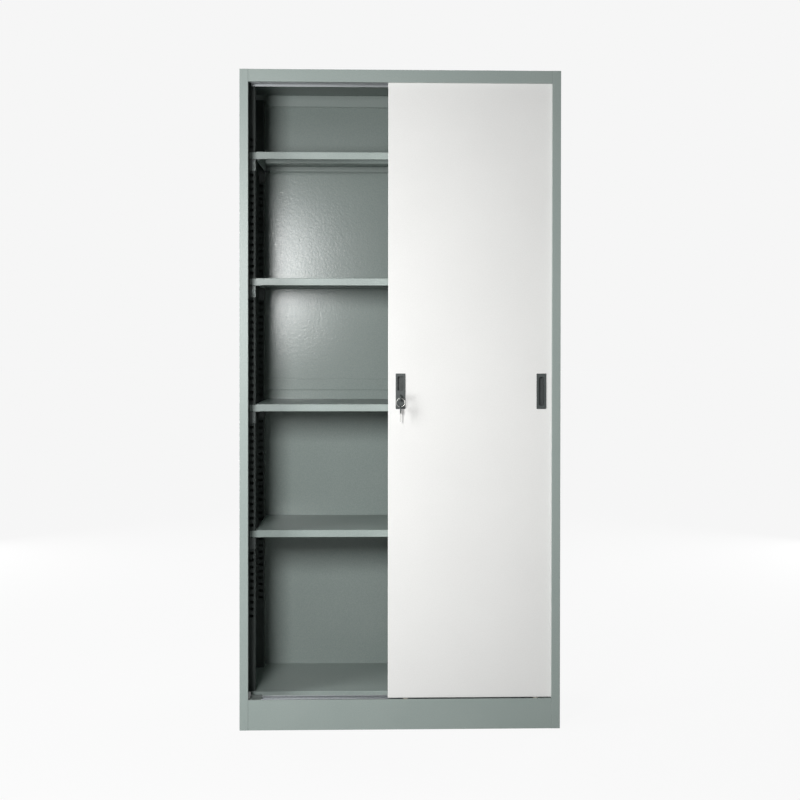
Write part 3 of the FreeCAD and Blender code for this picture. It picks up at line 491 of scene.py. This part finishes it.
print("ring span:", [round(v / MM, 2) for v in ring.dimensions], "triangles:", triangles(ring))

# %% [markdown]
# Soft studio light, set as for a catalogue: a small softbox with a grid, left of the camera,
# lights the open half and lays a sheen on the back panel, and a large one further left rounds off
# the side. Where the first one stands follows from the shadow that the left edge of the cupboard
# throws into the shelves. Two at the rear light the back. They stay below the roof, which would
# mirror them as a white glare, and one overhead lights the top. The powers are set so that a
# colour renders about as it is written.

# %% Softboxes
def softbox(name, place, target, width, height, power, spread=180):
    """A rectangular white lamp facing a target, whose grid narrows its beam to the spread."""
    lamp = bpy.data.lights.new(name, "AREA")
    lamp.shape = "RECTANGLE"
    lamp.size, lamp.size_y = width, height
    lamp.energy = power
    lamp.spread = math.radians(spread)
    box = new_object(name, lamp)
    box.location = place
    aim = Vector(target) - Vector(place)
    box.rotation_euler = aim.to_track_quat("-Z", "Y").to_euler()


softbox("key_softbox", (-0.70, -2.4, 1.40), (-0.1, 0.0, 0.6),
        width=0.46, height=0.6, power=27, spread=140)
softbox("left_softbox", (-2.5, -1.5, 1.1), (0.0, 0.0, 0.8), width=0.8, height=1.6, power=56)
for side, x in (("left", -2.8), ("right", 2.8)):
    softbox(side + "_rear_softbox", (x, 2.6, 0.95), (0.0, 0.0, 0.95),
            width=1.6, height=1.6, power=88)
softbox("overhead_softbox", (0.0, 0.25, 2.9), (0.0, 0.1, 1.85),
        width=0.9, height=0.5, power=8, spread=110)

# %% [markdown]
# Behind the cupboard the photograph has only a flat pale backdrop. A world of that colour would
# light the shelves from all round, so the backdrop is there for rays that show it as a picture,
# and a far weaker pale surround fills the shadows.

# %% Pale surround
BACKDROP = "#F6F6F6"
SURROUND_STRENGTH = 0.02


def seen_rays(tree):
    """1 for rays that meet the backdrop as a picture: straight, in a mirror or through glass."""
    path = add(tree, "ShaderNodeLightPath", {}).outputs
    direct = add(tree, "ShaderNodeMath",
                 {0: path["Is Camera Ray"], 1: path["Is Transmission Ray"]}, operation="MAXIMUM")
    seen = add(tree, "ShaderNodeMath",
               {0: direct.outputs[0], 1: path["Is Glossy Ray"]}, operation="MAXIMUM")
    return seen.outputs[0]


world = bpy.data.worlds.new("pale_surround")
bpy.context.scene.world = world
world.use_nodes = True
sky = world.node_tree
sky.nodes.clear()
surround = add(sky, "ShaderNodeBackground",
               {"Color": linear("#F2F4F5"), "Strength": SURROUND_STRENGTH})
backdrop = add(sky, "ShaderNodeBackground", {"Color": linear(BACKDROP), "Strength": 1.0})
chosen = add(sky, "ShaderNodeMixShader",
             {0: seen_rays(sky), 1: surround.outputs[0], 2: backdrop.outputs[0]})
add(sky, "ShaderNodeOutputWorld", {"Surface": chosen.outputs[0]})
bpy.context.scene.view_settings.view_transform = "Standard"
print("world:", world.name, "view:", bpy.context.scene.view_settings.view_transform)

# %% [markdown]
# The floor is a large sheet of paper. Straight to the eye and in reflections most of it is the
# flat pale backdrop of the photograph, and a part of it is a lit surface, so that the cupboard
# keeps a soft shadow.

# %% Floor
FLOOR_HALF = 40.0  # metres
FLAT_SHARE = 0.9
FLAT_STRENGTH = 1.11  # makes up for the lit share, which is darker than the backdrop
floor_mesh = bpy.data.meshes.new("studio_floor")
floor_mesh.from_pydata([(-FLOOR_HALF, -FLOOR_HALF, 0), (FLOOR_HALF, -FLOOR_HALF, 0),
                        (FLOOR_HALF, FLOOR_HALF, 0), (-FLOOR_HALF, FLOOR_HALF, 0)],
                       [], [(0, 1, 2, 3)])
floor = new_object("studio_floor", floor_mesh)
# Matt paper, pale and even, on which only the shadow shows.
paper, tree, output = new_finish("studio_paper")
lit = add(tree, "ShaderNodeBsdfDiffuse", {"Color": linear("#A4A4A4")})
flat = add(tree, "ShaderNodeEmission", {"Color": linear(BACKDROP), "Strength": FLAT_STRENGTH})
share = add(tree, "ShaderNodeMath", {0: seen_rays(tree), 1: FLAT_SHARE}, operation="MULTIPLY")
mixed = add(tree, "ShaderNodeMixShader",
            {0: share.outputs[0], 1: lit.outputs[0], 2: flat.outputs[0]})
tree.links.new(mixed.outputs[0], output.inputs["Surface"])
floor_mesh.materials.append(paper)
print("floor laid,", 2 * FLOOR_HALF, "m wide")
